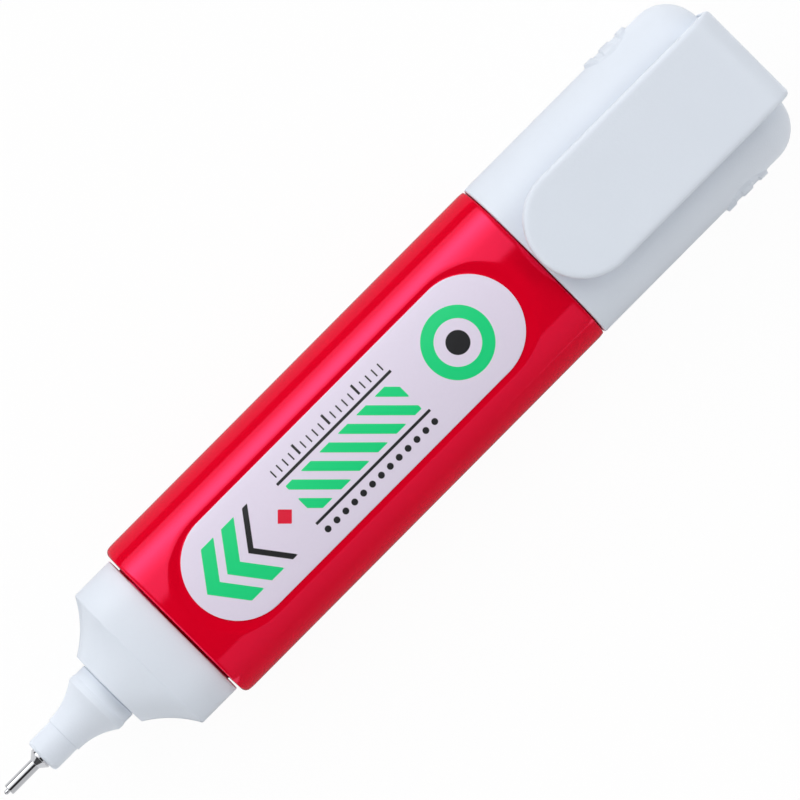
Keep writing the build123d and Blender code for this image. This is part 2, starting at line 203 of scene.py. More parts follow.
class CapSettings(bpy.types.PropertyGroup):
    """Sizes of the cap, its finger grips and its clip, and the colour of the white plastic."""

    end_round: length("End round", "Radius of the cap's closed end", 4.8)
    end_wall: length("End wall", "Thickness of the closed end", 2.0)
    mouth_round: length("Mouth round", "Radius of the cap's rim", 0.25)
    grip_diameter: length("Grip diameter", "Round finger grip on each narrow side", 6.95)
    grip_from_end: length("Grip from end", "From the cap's end to the middle of the grip", 10.35)
    grip_floor: length("Grip floor", "Height of the grip between its ribs", 0.22)
    grip_rib: length("Grip rib", "Height of the ribs", 0.43)
    grip_rib_width: length("Rib width", "Width of one rib", 1.6)
    grip_pitch: length("Rib pitch", "Distance from rib to rib", 2.75)
    socket_depth: length("Socket depth", "Ring on the cap's floor that holds the inner cap", 4.0)
    socket_wall: length("Socket wall", "Wall of that ring", 1.2)
    clip_thickness: length("Clip thickness", "Thickness of the clip's arm", 1.7)
    clip_tip: length("Clip tip", "Length of the clip's half-oval tip", 6.9)
    clip_bend: length("Clip bend", "Outer radius of the clip's bend", 3.3)
    clip_inner_bend: length("Inner bend", "Inner radius of the clip's bend", 1.5)
    clip_rim: length("Clip rim", "Width of the round on the clip's upper edges", 0.8)
    clip_rim_depth: length("Clip rim depth", "Depth of that round", 0.45)
    clip_bend_rim: length("Bend rim", "Radius of the clip's edges behind the bend", 0.55)
    clip_corner: length("Clip corner", "Radius of the corners at the clip's root", 0.8)
    clip_bead: length("Clip bead", "Depth of the bead below the clip's tip", 1.7)
    clip_bead_radius: length("Bead radius", "Radius of that bead", 2.2)
    white: colour("White", "Colour of the white plastic", "#DEE5EF")


class StageSettings(bpy.types.PropertyGroup):
    """Camera, light, floor and the glowing cards that only reflections show, as painted reflections."""

    camera_height: length("Camera height", "From the pen's axis to the camera", 1000.0)
    camera_x: length("Camera X", "Point along the pen that the camera stands over", -23.785)
    camera_y: length("Camera Y", "How far the camera stands to the +Y side", 44.7)
    aim_x: length("Aim X", "Point along the pen at the middle of the picture", 4.165)
    aim_y: length("Aim Y", "Point across the pen at the middle of the picture", -0.29)
    view_width: length("View width", "Width of the picture at the pen's axis", 95.87)
    roll: turning("Roll", "Angle of the pen's axis above the picture's lower edge", 45.17)
    light: FloatProperty(name="Light", description="Strength of the soft dome", default=3.78, min=0)
    floor_lift: FloatProperty(
        name="Floor lift",
        description="Share of plain white that the camera sees in the floor",
        default=0.95,
        min=0,
        max=1,
    )
    floor_half_size: length("Floor half size", "From the middle of the floor to its side", 4000.0)
    floor: colour("Floor", "Colour of the floor", "#FAFAFA")
    # Places of the cards whose glow paints the pen's reflections
    card_distance: length("Card distance", "From the pen's axis to the upright card", 27.0)
    card_edge: length("Card edge", "From the pen's axis to where the two flat cards meet", 12.5)
    card_reach: length("Card reach", "From the pen's axis to the flat cards' outer sides", 4000.0)
    card_foot: length("Card foot", "Height of the upright card's lower side", 7.0)
    card_rise: length("Card rise", "Height of the upright card", 14.0)
    # Glow of the cards, painted into reflections: the floor's shade under the barrel and at its +Y side, and
    # a dark band
    flat_card: colour("Flat card", "Colour of the card that lies under the barrel", "#7A7A7A")
    side_card: colour("Side card", "Colour of the card that lies at the barrel's +Y side", "#A0A0A0")
    upright_card: colour("Upright card", "Colour of the card that stands at the +Y side", "#383838")
    tip_card_distance: length("Tip card distance", "From the pen's axis to the card at the metal tip", 15.0)
    tip_card_rise: length("Tip card rise", "Height of the card at the metal tip", 32.0)
    # Glow of the card, painted as a pale reflection on the metal tip's -Y half
    tip_card: colour("Tip card", "Colour of the card that stands at the tip's -Y side", "#E6E6E6")


# Shapes


def oval_angles(crown_steps, side_steps, crowding=0.0):
    """Directions of the surface once round an oval, from +Y over +Z, arc by arc.

    The steps on an arc are even, or with crowding up to 1 drawn together towards its ends by a sine.
    """
    quarter = math.pi / 2
    joins = [CROWN_HALF_ANGLE - quarter, quarter - CROWN_HALF_ANGLE, quarter + CROWN_HALF_ANGLE]
    joins += [3 * quarter - CROWN_HALF_ANGLE, 3 * quarter + CROWN_HALF_ANGLE]
    counts = [side_steps, crown_steps, side_steps, crown_steps]
    runs = []
    for start, end, count in zip(joins, joins[1:], counts):
        share = np.linspace(-1, 1, count, endpoint=False)
        share = (1 - crowding) * share + crowding * np.sin(share * quarter)
        runs.append((start + end) / 2 + share * (end - start) / 2)
    return np.concatenate(runs)


def oval_rings(x, across, deep, angles):
    """Grid of rings round the pen's axis: at each x an oval with the half sizes across and deep.

    Four tangent arcs meet at the crown's half angle t. With spread = (across - deep) / (sin t + cos t - 1),
    the side arcs have radius across - spread sin t about y = +-spread sin t, and the crown arcs are larger
    by spread. A point is its arc's centre plus that radius along (cos angle, sin angle). Equal half sizes
    give a circle.
    """
    x, across, deep = [np.broadcast_to(v, np.shape(x))[:, None] for v in (x, across, deep)]
    turn = CROWN_HALF_ANGLE
    spread = (across - deep) / (math.sin(turn) + math.cos(turn) - 1)
    side = across - spread * math.sin(turn)
    on_crown = np.abs(np.sin(angles)) > math.cos(turn)
    centre_y = np.where(on_crown, 0, np.sign(np.cos(angles)) * spread * math.sin(turn))
    centre_z = np.where(on_crown, -np.sign(np.sin(angles)) * (side + spread - deep), 0)
    radius = np.where(on_crown, side + spread, side)
    y = centre_y + radius * np.cos(angles)
    z = AXIS_Z + centre_z + radius * np.sin(angles)
    return np.stack([np.broadcast_to(x, y.shape), y, z], axis=-1)


def oval_height(y, inset):
    """Height above the axis of the section's upper face, inset by a wall: a crown arc and a side arc."""
    turn = CROWN_HALF_ANGLE
    spread = (HALF_WIDTH - HALF_DEPTH) / (math.sin(turn) + math.cos(turn) - 1)
    side = HALF_WIDTH - spread * math.sin(turn) - inset
    crown = side + spread
    on_crown = np.abs(y) < crown * math.sin(turn)
    top = np.sqrt(np.maximum(crown**2 - y**2, 0)) - (crown - HALF_DEPTH + inset)
    flank = np.sqrt(np.maximum(side**2 - (np.abs(y) - spread * math.sin(turn)) ** 2, 0))
    return np.where(on_crown, top, flank)


def rounded(corners, steps=6):
    """Profile through corners (x, r, radius), each corner rounded by an arc tangent to both of its sides.

    The arc's centre lies radius / sin(half angle) from the corner along the bisector, and the arc swings
    between its two tangent points by spherical interpolation. A corner that hardly turns stays a point.
    """
    nearly_straight = math.radians(89.5)
    points = np.array([corner[:2] for corner in corners], float)
    share = np.linspace(0, 1, steps + 1)[:, None]
    runs = [points[:1]]
    for before, corner, after, radius in zip(points, points[1:], points[2:], [c[2] for c in corners[1:-1]]):
        back = (before - corner) / np.linalg.norm(before - corner)
        ahead = (after - corner) / np.linalg.norm(after - corner)
        half = math.acos(np.clip(back @ ahead, -1, 1)) / 2
        if radius == 0 or half > nearly_straight:
            runs.append(corner[None])
            continue
        turn = math.pi - 2 * half
        centre = corner + (back + ahead) / np.linalg.norm(back + ahead) * radius / math.sin(half)
        start = corner + back * radius / math.tan(half) - centre
        end = corner + ahead * radius / math.tan(half) - centre
        swung = np.sin((1 - share) * turn) * start + np.sin(share * turn) * end
        runs.append(centre + swung / math.sin(turn))
    return np.concatenate(runs + [points[-1:]])


def held(profile, hold=0.04 * MM):
    """Adds a point just inside both ends of each run of a profile, so that shading keeps the runs flat."""
    largest_share = 0.3
    start = profile[:-1]
    run = profile[1:] - start
    share = np.minimum(hold / np.linalg.norm(run, axis=1), largest_share)[:, None]
    trios = np.stack([start, start + share * run, start + (1 - share) * run], axis=1)
    return np.concatenate([trios.reshape(-1, 2), profile[-1:]])


def soft_step(value, low, high):
    """Rises from 0 at low to 1 at high as 3 s^2 - 2 s^3, and falls the same way where low is above high."""
    s = np.clip((value - low) / (high - low), 0, 1)
    return s * s * (3 - 2 * s)


def slot_distance(s, t, half_length, radius):
    """Signed distance to a slot with round ends: distance to its middle line less its radius."""
    return np.hypot(np.maximum(np.abs(s) - (half_length - radius), 0), t) - radius


def grid_mesh(name, points, wrap_rows=False, wrap_columns=True, values=None):
    """Mesh of a grid of points in quads. Doubles at poles and seams are merged, and faces turned outwards.

    values are named numbers on the points, kept as attributes for the material.
    """
    index = np.arange(points.shape[0] * points.shape[1]).reshape(points.shape[:2])
    if wrap_columns:
        index = np.concatenate([index, index[:, :1]], axis=1)
    if wrap_rows:
        index = np.concatenate([index, index[:1]], axis=0)
    quads = np.stack([index[:-1, :-1], index[1:, :-1], index[1:, 1:], index[:-1, 1:]], axis=-1).reshape(-1, 4)
    mesh = bpy.data.meshes.new(name)
    mesh.from_pydata(points.reshape(-1, 3).tolist(), [], quads.tolist())
    for key, array in (values or {}).items():
        mesh.attributes.new(key, "FLOAT", "POINT").data.foreach_set("value", array.astype(np.float32).ravel())
    work = bmesh.new()
    work.from_mesh(mesh)
    bmesh.ops.remove_doubles(work, verts=work.verts, dist=MERGE_DISTANCE)
    bmesh.ops.recalc_face_normals(work, faces=work.faces)
    work.to_mesh(mesh)
    work.free()
    mesh.polygons.foreach_set("use_smooth", np.ones(len(mesh.polygons), bool))
    return mesh


def add_piece(mesh, material, body, slot, *nodes):
    """Shows a mesh, under its own name, as a piece that rides on a body and stands for CAD nodes."""
    piece = bpy.data.objects.new(mesh.name, mesh)
    bpy.context.scene.collection.objects.link(piece)
    mesh.materials.append(material)
    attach(piece, body)
    if nodes:
        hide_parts(*nodes)
    return piece


def turned_mesh(name, profile, around=96, wrap_rows=True):
    """Round piece: a profile of (x, radius) carried round the pen's axis."""
    angles = np.linspace(0, 2 * math.pi, around, endpoint=False)
    return grid_mesh(name, oval_rings(profile[:, 0], profile[:, 1], profile[:, 1], angles), wrap_rows)


# Materials


# Sockets of a Mix node's colours, which share their names with its other sockets
MIX_A, MIX_B, MIX_RESULT = 6, 7, 2


def add_node(tree, kind, settings=None, **links):
    """Adds a node, sets its properties or its sockets by name, and links sockets to other nodes' outputs."""
    node = tree.nodes.new(kind)
    for key, value in (settings or {}).items():
        if hasattr(node, str(key)):
            setattr(node, key, value)
        else:
            node.inputs[key].default_value = value
    for key, source in links.items():
        tree.links.new(source, node.inputs[int(key[1:]) if key[1:].isdigit() else key.replace("_", " ")])
    return node


def per_metre(millimetres):
    """Texture scale that gives features of that size."""
    return 1 / (millimetres * MM)


def empty_tree(block):
    """Node tree of a material or a world, without its default nodes."""
    block.use_nodes = True
    block.node_tree.nodes.clear()
    return block.node_tree


def new_material(name):
    """Node material with its output, its surface shader and object coordinates."""
    material = bpy.data.materials.get(name) or bpy.data.materials.new(name)
    tree = empty_tree(material)
    output = add_node(tree, "ShaderNodeOutputMaterial")
    shader = add_node(tree, "ShaderNodeBsdfPrincipled")
    tree.links.new(shader.outputs["BSDF"], output.inputs["Surface"])
    place = add_node(tree, "ShaderNodeTexCoord").outputs["Object"]
    return material, tree, shader, place


def moulded_surface(tree, shader, place, base, tone, grain, height, rough):
    """Colour, roughness and relief of a moulded plastic.

    The colour drifts by tone over patches of some millimetres, as flow does in a mould. Grain of the given
    size in millimetres lifts the surface by height millimetres, and the roughness runs between the two given
    values.
    """
    patch = 7.0
    drift = add_node(tree, "ShaderNodeTexNoise", {"Scale": per_metre(patch), "Detail": 2.0}, Vector=place)
    darker = [c * (1 - tone) for c in base] + [1]
    lighter = [min(1, c * (1 + tone)) for c in base] + [1]
    tones = {"data_type": "RGBA", MIX_A: darker, MIX_B: lighter}
    mix = add_node(tree, "ShaderNodeMix", tones, Factor=drift.outputs["Fac"])
    fine = add_node(tree, "ShaderNodeTexNoise", {"Scale": per_metre(grain), "Detail": 3.0}, Vector=place)
    span = {"To Min": rough[0], "To Max": rough[1]}
    gloss = add_node(tree, "ShaderNodeMapRange", span, Value=fine.outputs["Fac"])
    relief = {"Strength": 1.0, "Distance": height * MM}
    bump = add_node(tree, "ShaderNodeBump", relief, Height=fine.outputs["Fac"])
    tree.links.new(mix.outputs[MIX_RESULT], shader.inputs["Base Color"])
    tree.links.new(gloss.outputs["Result"], shader.inputs["Roughness"])
    tree.links.new(bump.outputs["Normal"], shader.inputs["Normal"])


def glossy_red_polyethylene():
    """Blow-moulded squeeze plastic: deep red, with clear reflections tinted red and a faint orange peel.

    Its index and tint are matched to the saturated highlights, above the plastic's usual index of 1.5.
    """
    material, tree, shader, place = new_material("glossy_red_polyethylene")
    base = bpy.context.scene.pen_barrel.colour
    moulded_surface(tree, shader, place, base, tone=0.03, grain=0.5, height=0.002, rough=(0.07, 0.11))
    shader.inputs["IOR"].default_value = 2.0
    shader.inputs["Specular IOR Level"].default_value = 1.0
    shader.inputs["Specular Tint"].default_value = (1.0, 0.085, 0.24, 1.0)
    return material


def satin_white_polypropylene():
    """Injection-moulded cool white plastic with a fine spark-eroded grain and a satin sheen."""
    material, tree, shader, place = new_material("satin_white_polypropylene")
    base = bpy.context.scene.pen_cap.white
    moulded_surface(tree, shader, place, base, tone=0.012, grain=0.24, height=0.018, rough=(0.42, 0.52))
    shader.inputs["IOR"].default_value = 1.49
    return material


def natural_polyethylene():
    """Unpigmented plastic of the hidden mouldings: milky, a little translucent and waxy."""
    material, tree, shader, place = new_material("natural_polyethylene")
    base = linear("#E6E5DC")
    moulded_surface(tree, shader, place, base, tone=0.02, grain=0.3, height=0.006, rough=(0.35, 0.45))
    shader.inputs["IOR"].default_value = 1.51
    shader.inputs["Subsurface Weight"].default_value = 0.2
    shader.inputs["Subsurface Radius"].default_value = (0.8 * MM, 0.8 * MM, 0.7 * MM)
    return material


def nitrile_rubber():
    """Moulded dark grey rubber: dull, with a fine mealy grain."""
    material, tree, shader, place = new_material("nitrile_rubber")
    base = linear("#5E6064")
    moulded_surface(tree, shader, place, base, tone=0.06, grain=0.18, height=0.01, rough=(0.7, 0.85))
    return material


def polished_stainless_steel():
    """Turned and polished steel: mirror-like, with faint turning rings across the pen's axis.

    Real rings lie about 0.02 mm apart. They are drawn 1.57 mm apart, so that they show. A Wave texture of
    scale 1 repeats every 2 pi / 20 metres.
    """
    ring_spacing = 1.57
    material, tree, shader, place = new_material("polished_stainless_steel")
    shader.inputs["Base Color"].default_value = (*bpy.context.scene.pen_tip.steel, 1)
    shader.inputs["Metallic"].default_value = 1
    wave = {"Scale": per_metre(ring_spacing) * 2 * math.pi / 20, "Distortion": 1.5, "Detail": 2.0}
    rings = add_node(tree, "ShaderNodeTexWave", {"bands_direction": "X", **wave}, Vector=place)
    gloss = add_node(tree, "ShaderNodeMapRange", {"To Min": 0.04, "To Max": 0.08}, Value=rings.outputs["Fac"])
    relief = {"Strength": 0.5, "Distance": 0.001 * MM}
    bump = add_node(tree, "ShaderNodeBump", relief, Height=rings.outputs["Fac"])
    tree.links.new(gloss.outputs["Result"], shader.inputs["Roughness"])
    tree.links.new(bump.outputs["Normal"], shader.inputs["Normal"])
    return material


def printed_label_film():
    """Printed polypropylene film: satin, with flat inks whose edges are as sharp as the print.

    Each ink is a distance in millimetres on the film's points, negative inside the print, and runs out over
    the width of its edge.
    """
    fibre_size, edge, darkest = 0.35, 0.05, 0.97
    material, tree, shader, place = new_material("printed_label_film")
    inks = bpy.context.scene.pen_label
    noise = {"Scale": per_metre(fibre_size), "Detail": 2.0}
    fibre = add_node(tree, "ShaderNodeTexNoise", noise, Vector=place)
    tones = {"data_type": "RGBA", MIX_A: [c * darkest for c in inks.film] + [1], MIX_B: [*inks.film, 1]}
    paint = add_node(tree, "ShaderNodeMix", tones, Factor=fibre.outputs["Fac"]).outputs[MIX_RESULT]
    span = {"From Min": edge / 2, "From Max": -edge / 2, "To Min": 0.0, "To Max": 1.0}
    for ink in ("green", "black", "red"):
        distance = add_node(tree, "ShaderNodeAttribute", {"attribute_name": ink + "_ink"})
        cover = add_node(tree, "ShaderNodeMapRange", span, Value=distance.outputs["Fac"])
        layer = {"data_type": "RGBA", MIX_B: [*getattr(inks, ink), 1]}
        layer = add_node(tree, "ShaderNodeMix", layer, Factor=cover.outputs["Result"], _6=paint)
        paint = layer.outputs[MIX_RESULT]
    relief = {"Strength": 1.0, "Distance": 0.003 * MM}
    bump = add_node(tree, "ShaderNodeBump", relief, Height=fibre.outputs["Fac"])
    tree.links.new(paint, shader.inputs["Base Color"])
    tree.links.new(bump.outputs["Normal"], shader.inputs["Normal"])
    shader.inputs["Roughness"].default_value = 0.4
    shader.inputs["IOR"].default_value = 1.49
    return material


# Labels' print, on s along the pen from the label's middle and t across it, both in millimetres


def bar(s, t, middle, half):
    """Signed distance to a bar: the way to its nearest point outside, and less the way to its side inside."""
    far_s = np.abs(s - middle[0]) - half[0]
    far_t = np.abs(t - middle[1]) - half[1]
    outside = np.hypot(np.maximum(far_s, 0), np.maximum(far_t, 0))
    return outside + np.minimum(np.maximum(far_s, far_t), 0)


def repeated(value, pitch):
    """Offset from the nearest of evenly spaced marks, one of them at 0."""
    return (value + pitch / 2) % pitch - pitch / 2


def hatch(value):
    """Signed distance to slanted bars, where value is s + t or s - t."""
    pitch, half_width = 2.2, 0.6
    return np.abs(repeated(value / math.sqrt(2), pitch)) - half_width


def chevron(s, t, point, arm, width):
    """Signed distance to a V that points to -s: a slanted stroke, the same on both sides, cut off at arm."""
    slope = 0.75
    stroke = np.abs(s - point - slope * np.abs(t)) / math.hypot(1, slope) - width / 2
    return np.maximum(stroke, np.abs(t) - arm)


def front_print(s, t):
    """Plain marks of the front label: chevrons, a hatched panel, a tick scale, dots and a target."""
    arm, scale_half, rule_half = 4.3, 9.6, 0.18
    from_target = np.hypot(s - 17.6, t)
    green = np.maximum(bar(s, t, (0, 0), (9.0, 2.5)), hatch(s + t))
    for point in (-23.6, -20.2):
        green = np.minimum(green, chevron(s, t, point, arm, 1.7))
    green = np.minimum(green, np.abs(from_target - 3.7) - 0.8)
    black = chevron(s, t, -17.3, arm, 0.7)
    for side in (-1, 1):
        black = np.minimum(black, bar(s, t, (0, 3.3 * side), (scale_half, rule_half)))
    ticks = np.maximum(np.abs(repeated(s, 1.0)) - 0.1, bar(s, t, (0, 4.5), (scale_half, 0.55)))
    fives = np.maximum(np.abs(repeated(s, 5.0)) - 0.16, bar(s, t, (0, 4.7), (scale_half, 0.75)))
    dots = np.maximum(np.hypot(repeated(s, 1.5), t + 4.7) - 0.42, np.abs(s) - 9.7)
    for mark in (ticks, fives, dots, from_target - 1.5):
        black = np.minimum(black, mark)
    red = (np.abs(s + 11.6) + np.abs(t) - 1.2) / math.sqrt(2)
    return {"green_ink": green, "black_ink": black, "red_ink": red}


def back_print(s, t):
    """Plain marks of the back label: one hatched band between two rules."""
    rule, rule_place = (18.6, 0.18), 2.6
    green = np.maximum(bar(s, t, (0, 0), (18.0, 1.6)), hatch(s - t))
    black = np.minimum(bar(s, t, (0, rule_place), rule), bar(s, t, (0, -rule_place), rule))
    red = np.full_like(s, 1.0)
    return {"green_ink": green, "black_ink": black, "red_ink": red}


def label_mesh(name, settings, recess_depth, face, print_marks):
    """Film on the recess's floor: loops across the label that close to a point at both of its ends.

    At s along the label the loop reaches to +-sqrt(r^2 - e^2), with e the way into the round end. Its upper
    run lies a film's thickness above its lower one. face is 1 for the front and -1 for the back.
    """
    glue = 0.01 * MM
    end_steps, straight_steps, cross_steps = 61, 281, 97
    radius = LABEL_HALF_WIDTH
    straight = LABEL_HALF_LENGTH - radius
    swing = np.linspace(0, math.pi / 2, end_steps)
    end = straight + radius * np.sin(swing)
    s = np.concatenate([-end[::-1], np.linspace(-straight, straight, straight_steps)[1:-1], end])
    reach = np.sqrt(np.maximum(radius**2 - np.maximum(np.abs(s) - straight, 0) ** 2, 0))
    run = np.linspace(-1, 1, cross_steps)
    across = np.concatenate([run, run[::-1]])
    inset = np.repeat([recess_depth - settings.thickness, recess_depth - glue], len(run))
    y = reach[:, None] * across
    z = AXIS_Z + face * oval_height(y, inset)
    s = np.broadcast_to(s[:, None], y.shape)
    marks = print_marks(s / MM, y / MM)
    values = {ink: np.clip(distance, -1, 1) for ink, distance in marks.items()}
    return grid_mesh(name, np.stack([LABEL_MIDDLE + s, y, z], axis=-1), values=values)


# Pieces and stage


class PEN_OT_barrel(bpy.types.Operator):
    """Builds the squeeze barrel with its neck, its tail and the soft recesses for the labels."""

    bl_idname = "pen.barrel"
    bl_label = "Barrel"

    def execute(self, context):
        size = context.scene.pen_barrel
        angles = oval_angles(54, 82, crowding=0.6)
        points = self.shell_points(size, size.front_round, size.front_ease, angles)
        beside = self.shell_points(size, size.front_side_round, size.front_side_ease, angles)
        side_start = 0.8
        points += soft_step(np.abs(np.cos(angles)), side_start, 1)[:, None] * (beside - points)
        mesh = grid_mesh("barrel_moulding", points)
        add_piece(mesh, glossy_red_polyethylene(), "barrel", "red_barrel", "barrel")
        return {"FINISHED"}

    @classmethod
    def shell_points(cls, size, front_round, front_ease, angles):
        """Rings of the barrel, from the reservoir's floor out of the mouth and over the outside to the tail.

        The fall towards a rim meets the straight outside in an arc, whose radius is its tangent's length over
        the tangent of half its turn. The recesses sink the outside along its own direction.
        """
        crease, inner_round, floor_round = 0.1 * MM, 0.3 * MM, 0.5 * MM
        rim_reach, label_reach = 1.6 * MM, 2 * MM
        inner_rear = BARREL_REAR - size.wall
        floor = BARREL_HIGH.x - size.wall
        front_wall = BARREL_FRONT + size.front_wall
        tail_wall = TAIL_INSET + size.wall
        reservoir = rounded([
            (floor, tail_wall + 2 * MM, 0),
            (floor, tail_wall, floor_round),
            (inner_rear, tail_wall, 0),
            (inner_rear, size.wall, inner_round),
            (front_wall, size.wall, inner_round),
            (front_wall, MOUTH_INSET, 0),
            (BARREL_LOW.x, MOUTH_INSET, 0),
        ])
        front_tangent = 0.35 * MM
        half_turn = math.atan2(size.front_drop, front_ease) / 2
        front_rim = BARREL_FRONT + size.front_slant
        front = rounded([
            (BARREL_LOW.x, MOUTH_INSET - crease, 0),
            (BARREL_LOW.x, NECK_INSET, inner_round),
            (BARREL_FRONT, NECK_INSET, crease),
            (front_rim, size.front_drop, front_round),
            (front_rim + front_ease, 0, front_tangent / math.tan(half_turn)),
            (BARREL_FRONT + rim_reach, 0, 0),
        ])
        rear_tangent = 0.9 * size.rear_ease
        half_turn = math.atan2(size.rear_drop, size.rear_ease) / 2
        rear = rounded([
            (BARREL_REAR - rim_reach, 0, 0),
            (BARREL_REAR - size.rear_ease, 0, rear_tangent / math.tan(half_turn)),
            (BARREL_REAR, size.rear_drop, size.rear_round),
            (BARREL_REAR, TAIL_INSET, crease),
            (BARREL_HIGH.x, TAIL_INSET, size.tail_round),
            (BARREL_HIGH.x, MOUTH_INSET, 0),
        ])
        end_reach = LABEL_HALF_WIDTH + label_reach
        stops = [front[-1, 0], LABEL_LOW.x - label_reach, LABEL_LOW.x + end_reach]
        stops += [LABEL_HIGH.x - end_reach, LABEL_HIGH.x + label_reach, rear[0, 0]]
        runs = zip(stops, stops[1:], (3, 60, 30, 60, 6))
        lines = np.concatenate([np.linspace(a, b, n, endpoint=False) for a, b, n in runs])
        middle = np.stack([lines[1:], np.zeros(len(lines) - 1)], axis=1)
        profile = np.concatenate([reservoir, held(front), middle, held(rear)])
        x = np.concatenate([[floor], profile[:, 0], [BARREL_HIGH.x]])
        across = np.concatenate([[0], HALF_WIDTH - profile[:, 1], [0]])
        deep = np.concatenate([[0], HALF_DEPTH - profile[:, 1], [0]])
        points = oval_rings(x, across, deep, angles)
        sunk = cls.recess(points[..., 0] - LABEL_MIDDLE, points[..., 1], size)
        sunk[: len(reservoir) + 1] = 0
        points[..., 1] -= sunk * np.cos(angles)
        points[..., 2] -= sunk * np.sin(angles)
        return points

    @staticmethod
    def recess(s, t, size):
        """Depth of the recess at s along the pen and t across it.

        It is flat in one slot and level outside a larger one. Over the share w of the way from the first to
        the second it is (1 - w)^p (1 + p w), steeper at its foot.
        """
        power = 2.4
        margin = size.recess_margin
        floor = slot_distance(s, t, LABEL_HALF_LENGTH + margin, LABEL_HALF_WIDTH + margin)
        brim = slot_distance(s, t, LABEL_HALF_LENGTH + size.recess_end, LABEL_HALF_WIDTH + size.recess_wall)
        way = np.clip(floor / (floor - brim), 0, 1)
        return size.recess_depth * (1 - way) ** power * (1 + power * way)


class PEN_OT_labels(bpy.types.Operator):
    """Builds the printed film in the front recess and the plainer one in the back recess."""

    bl_idname = "pen.labels"
    bl_label = "Labels"

    def execute(self, context):
        size = context.scene.pen_label
        depth = context.scene.pen_barrel.recess_depth
        material = printed_label_film()
        for node, face, marks in (("front_label", 1, front_print), ("back_label", -1, back_print)):
            mesh = label_mesh(node + "_film", size, depth, face, marks)
            add_piece(mesh, material, "barrel", "label_film", node)
        return {"FINISHED"}


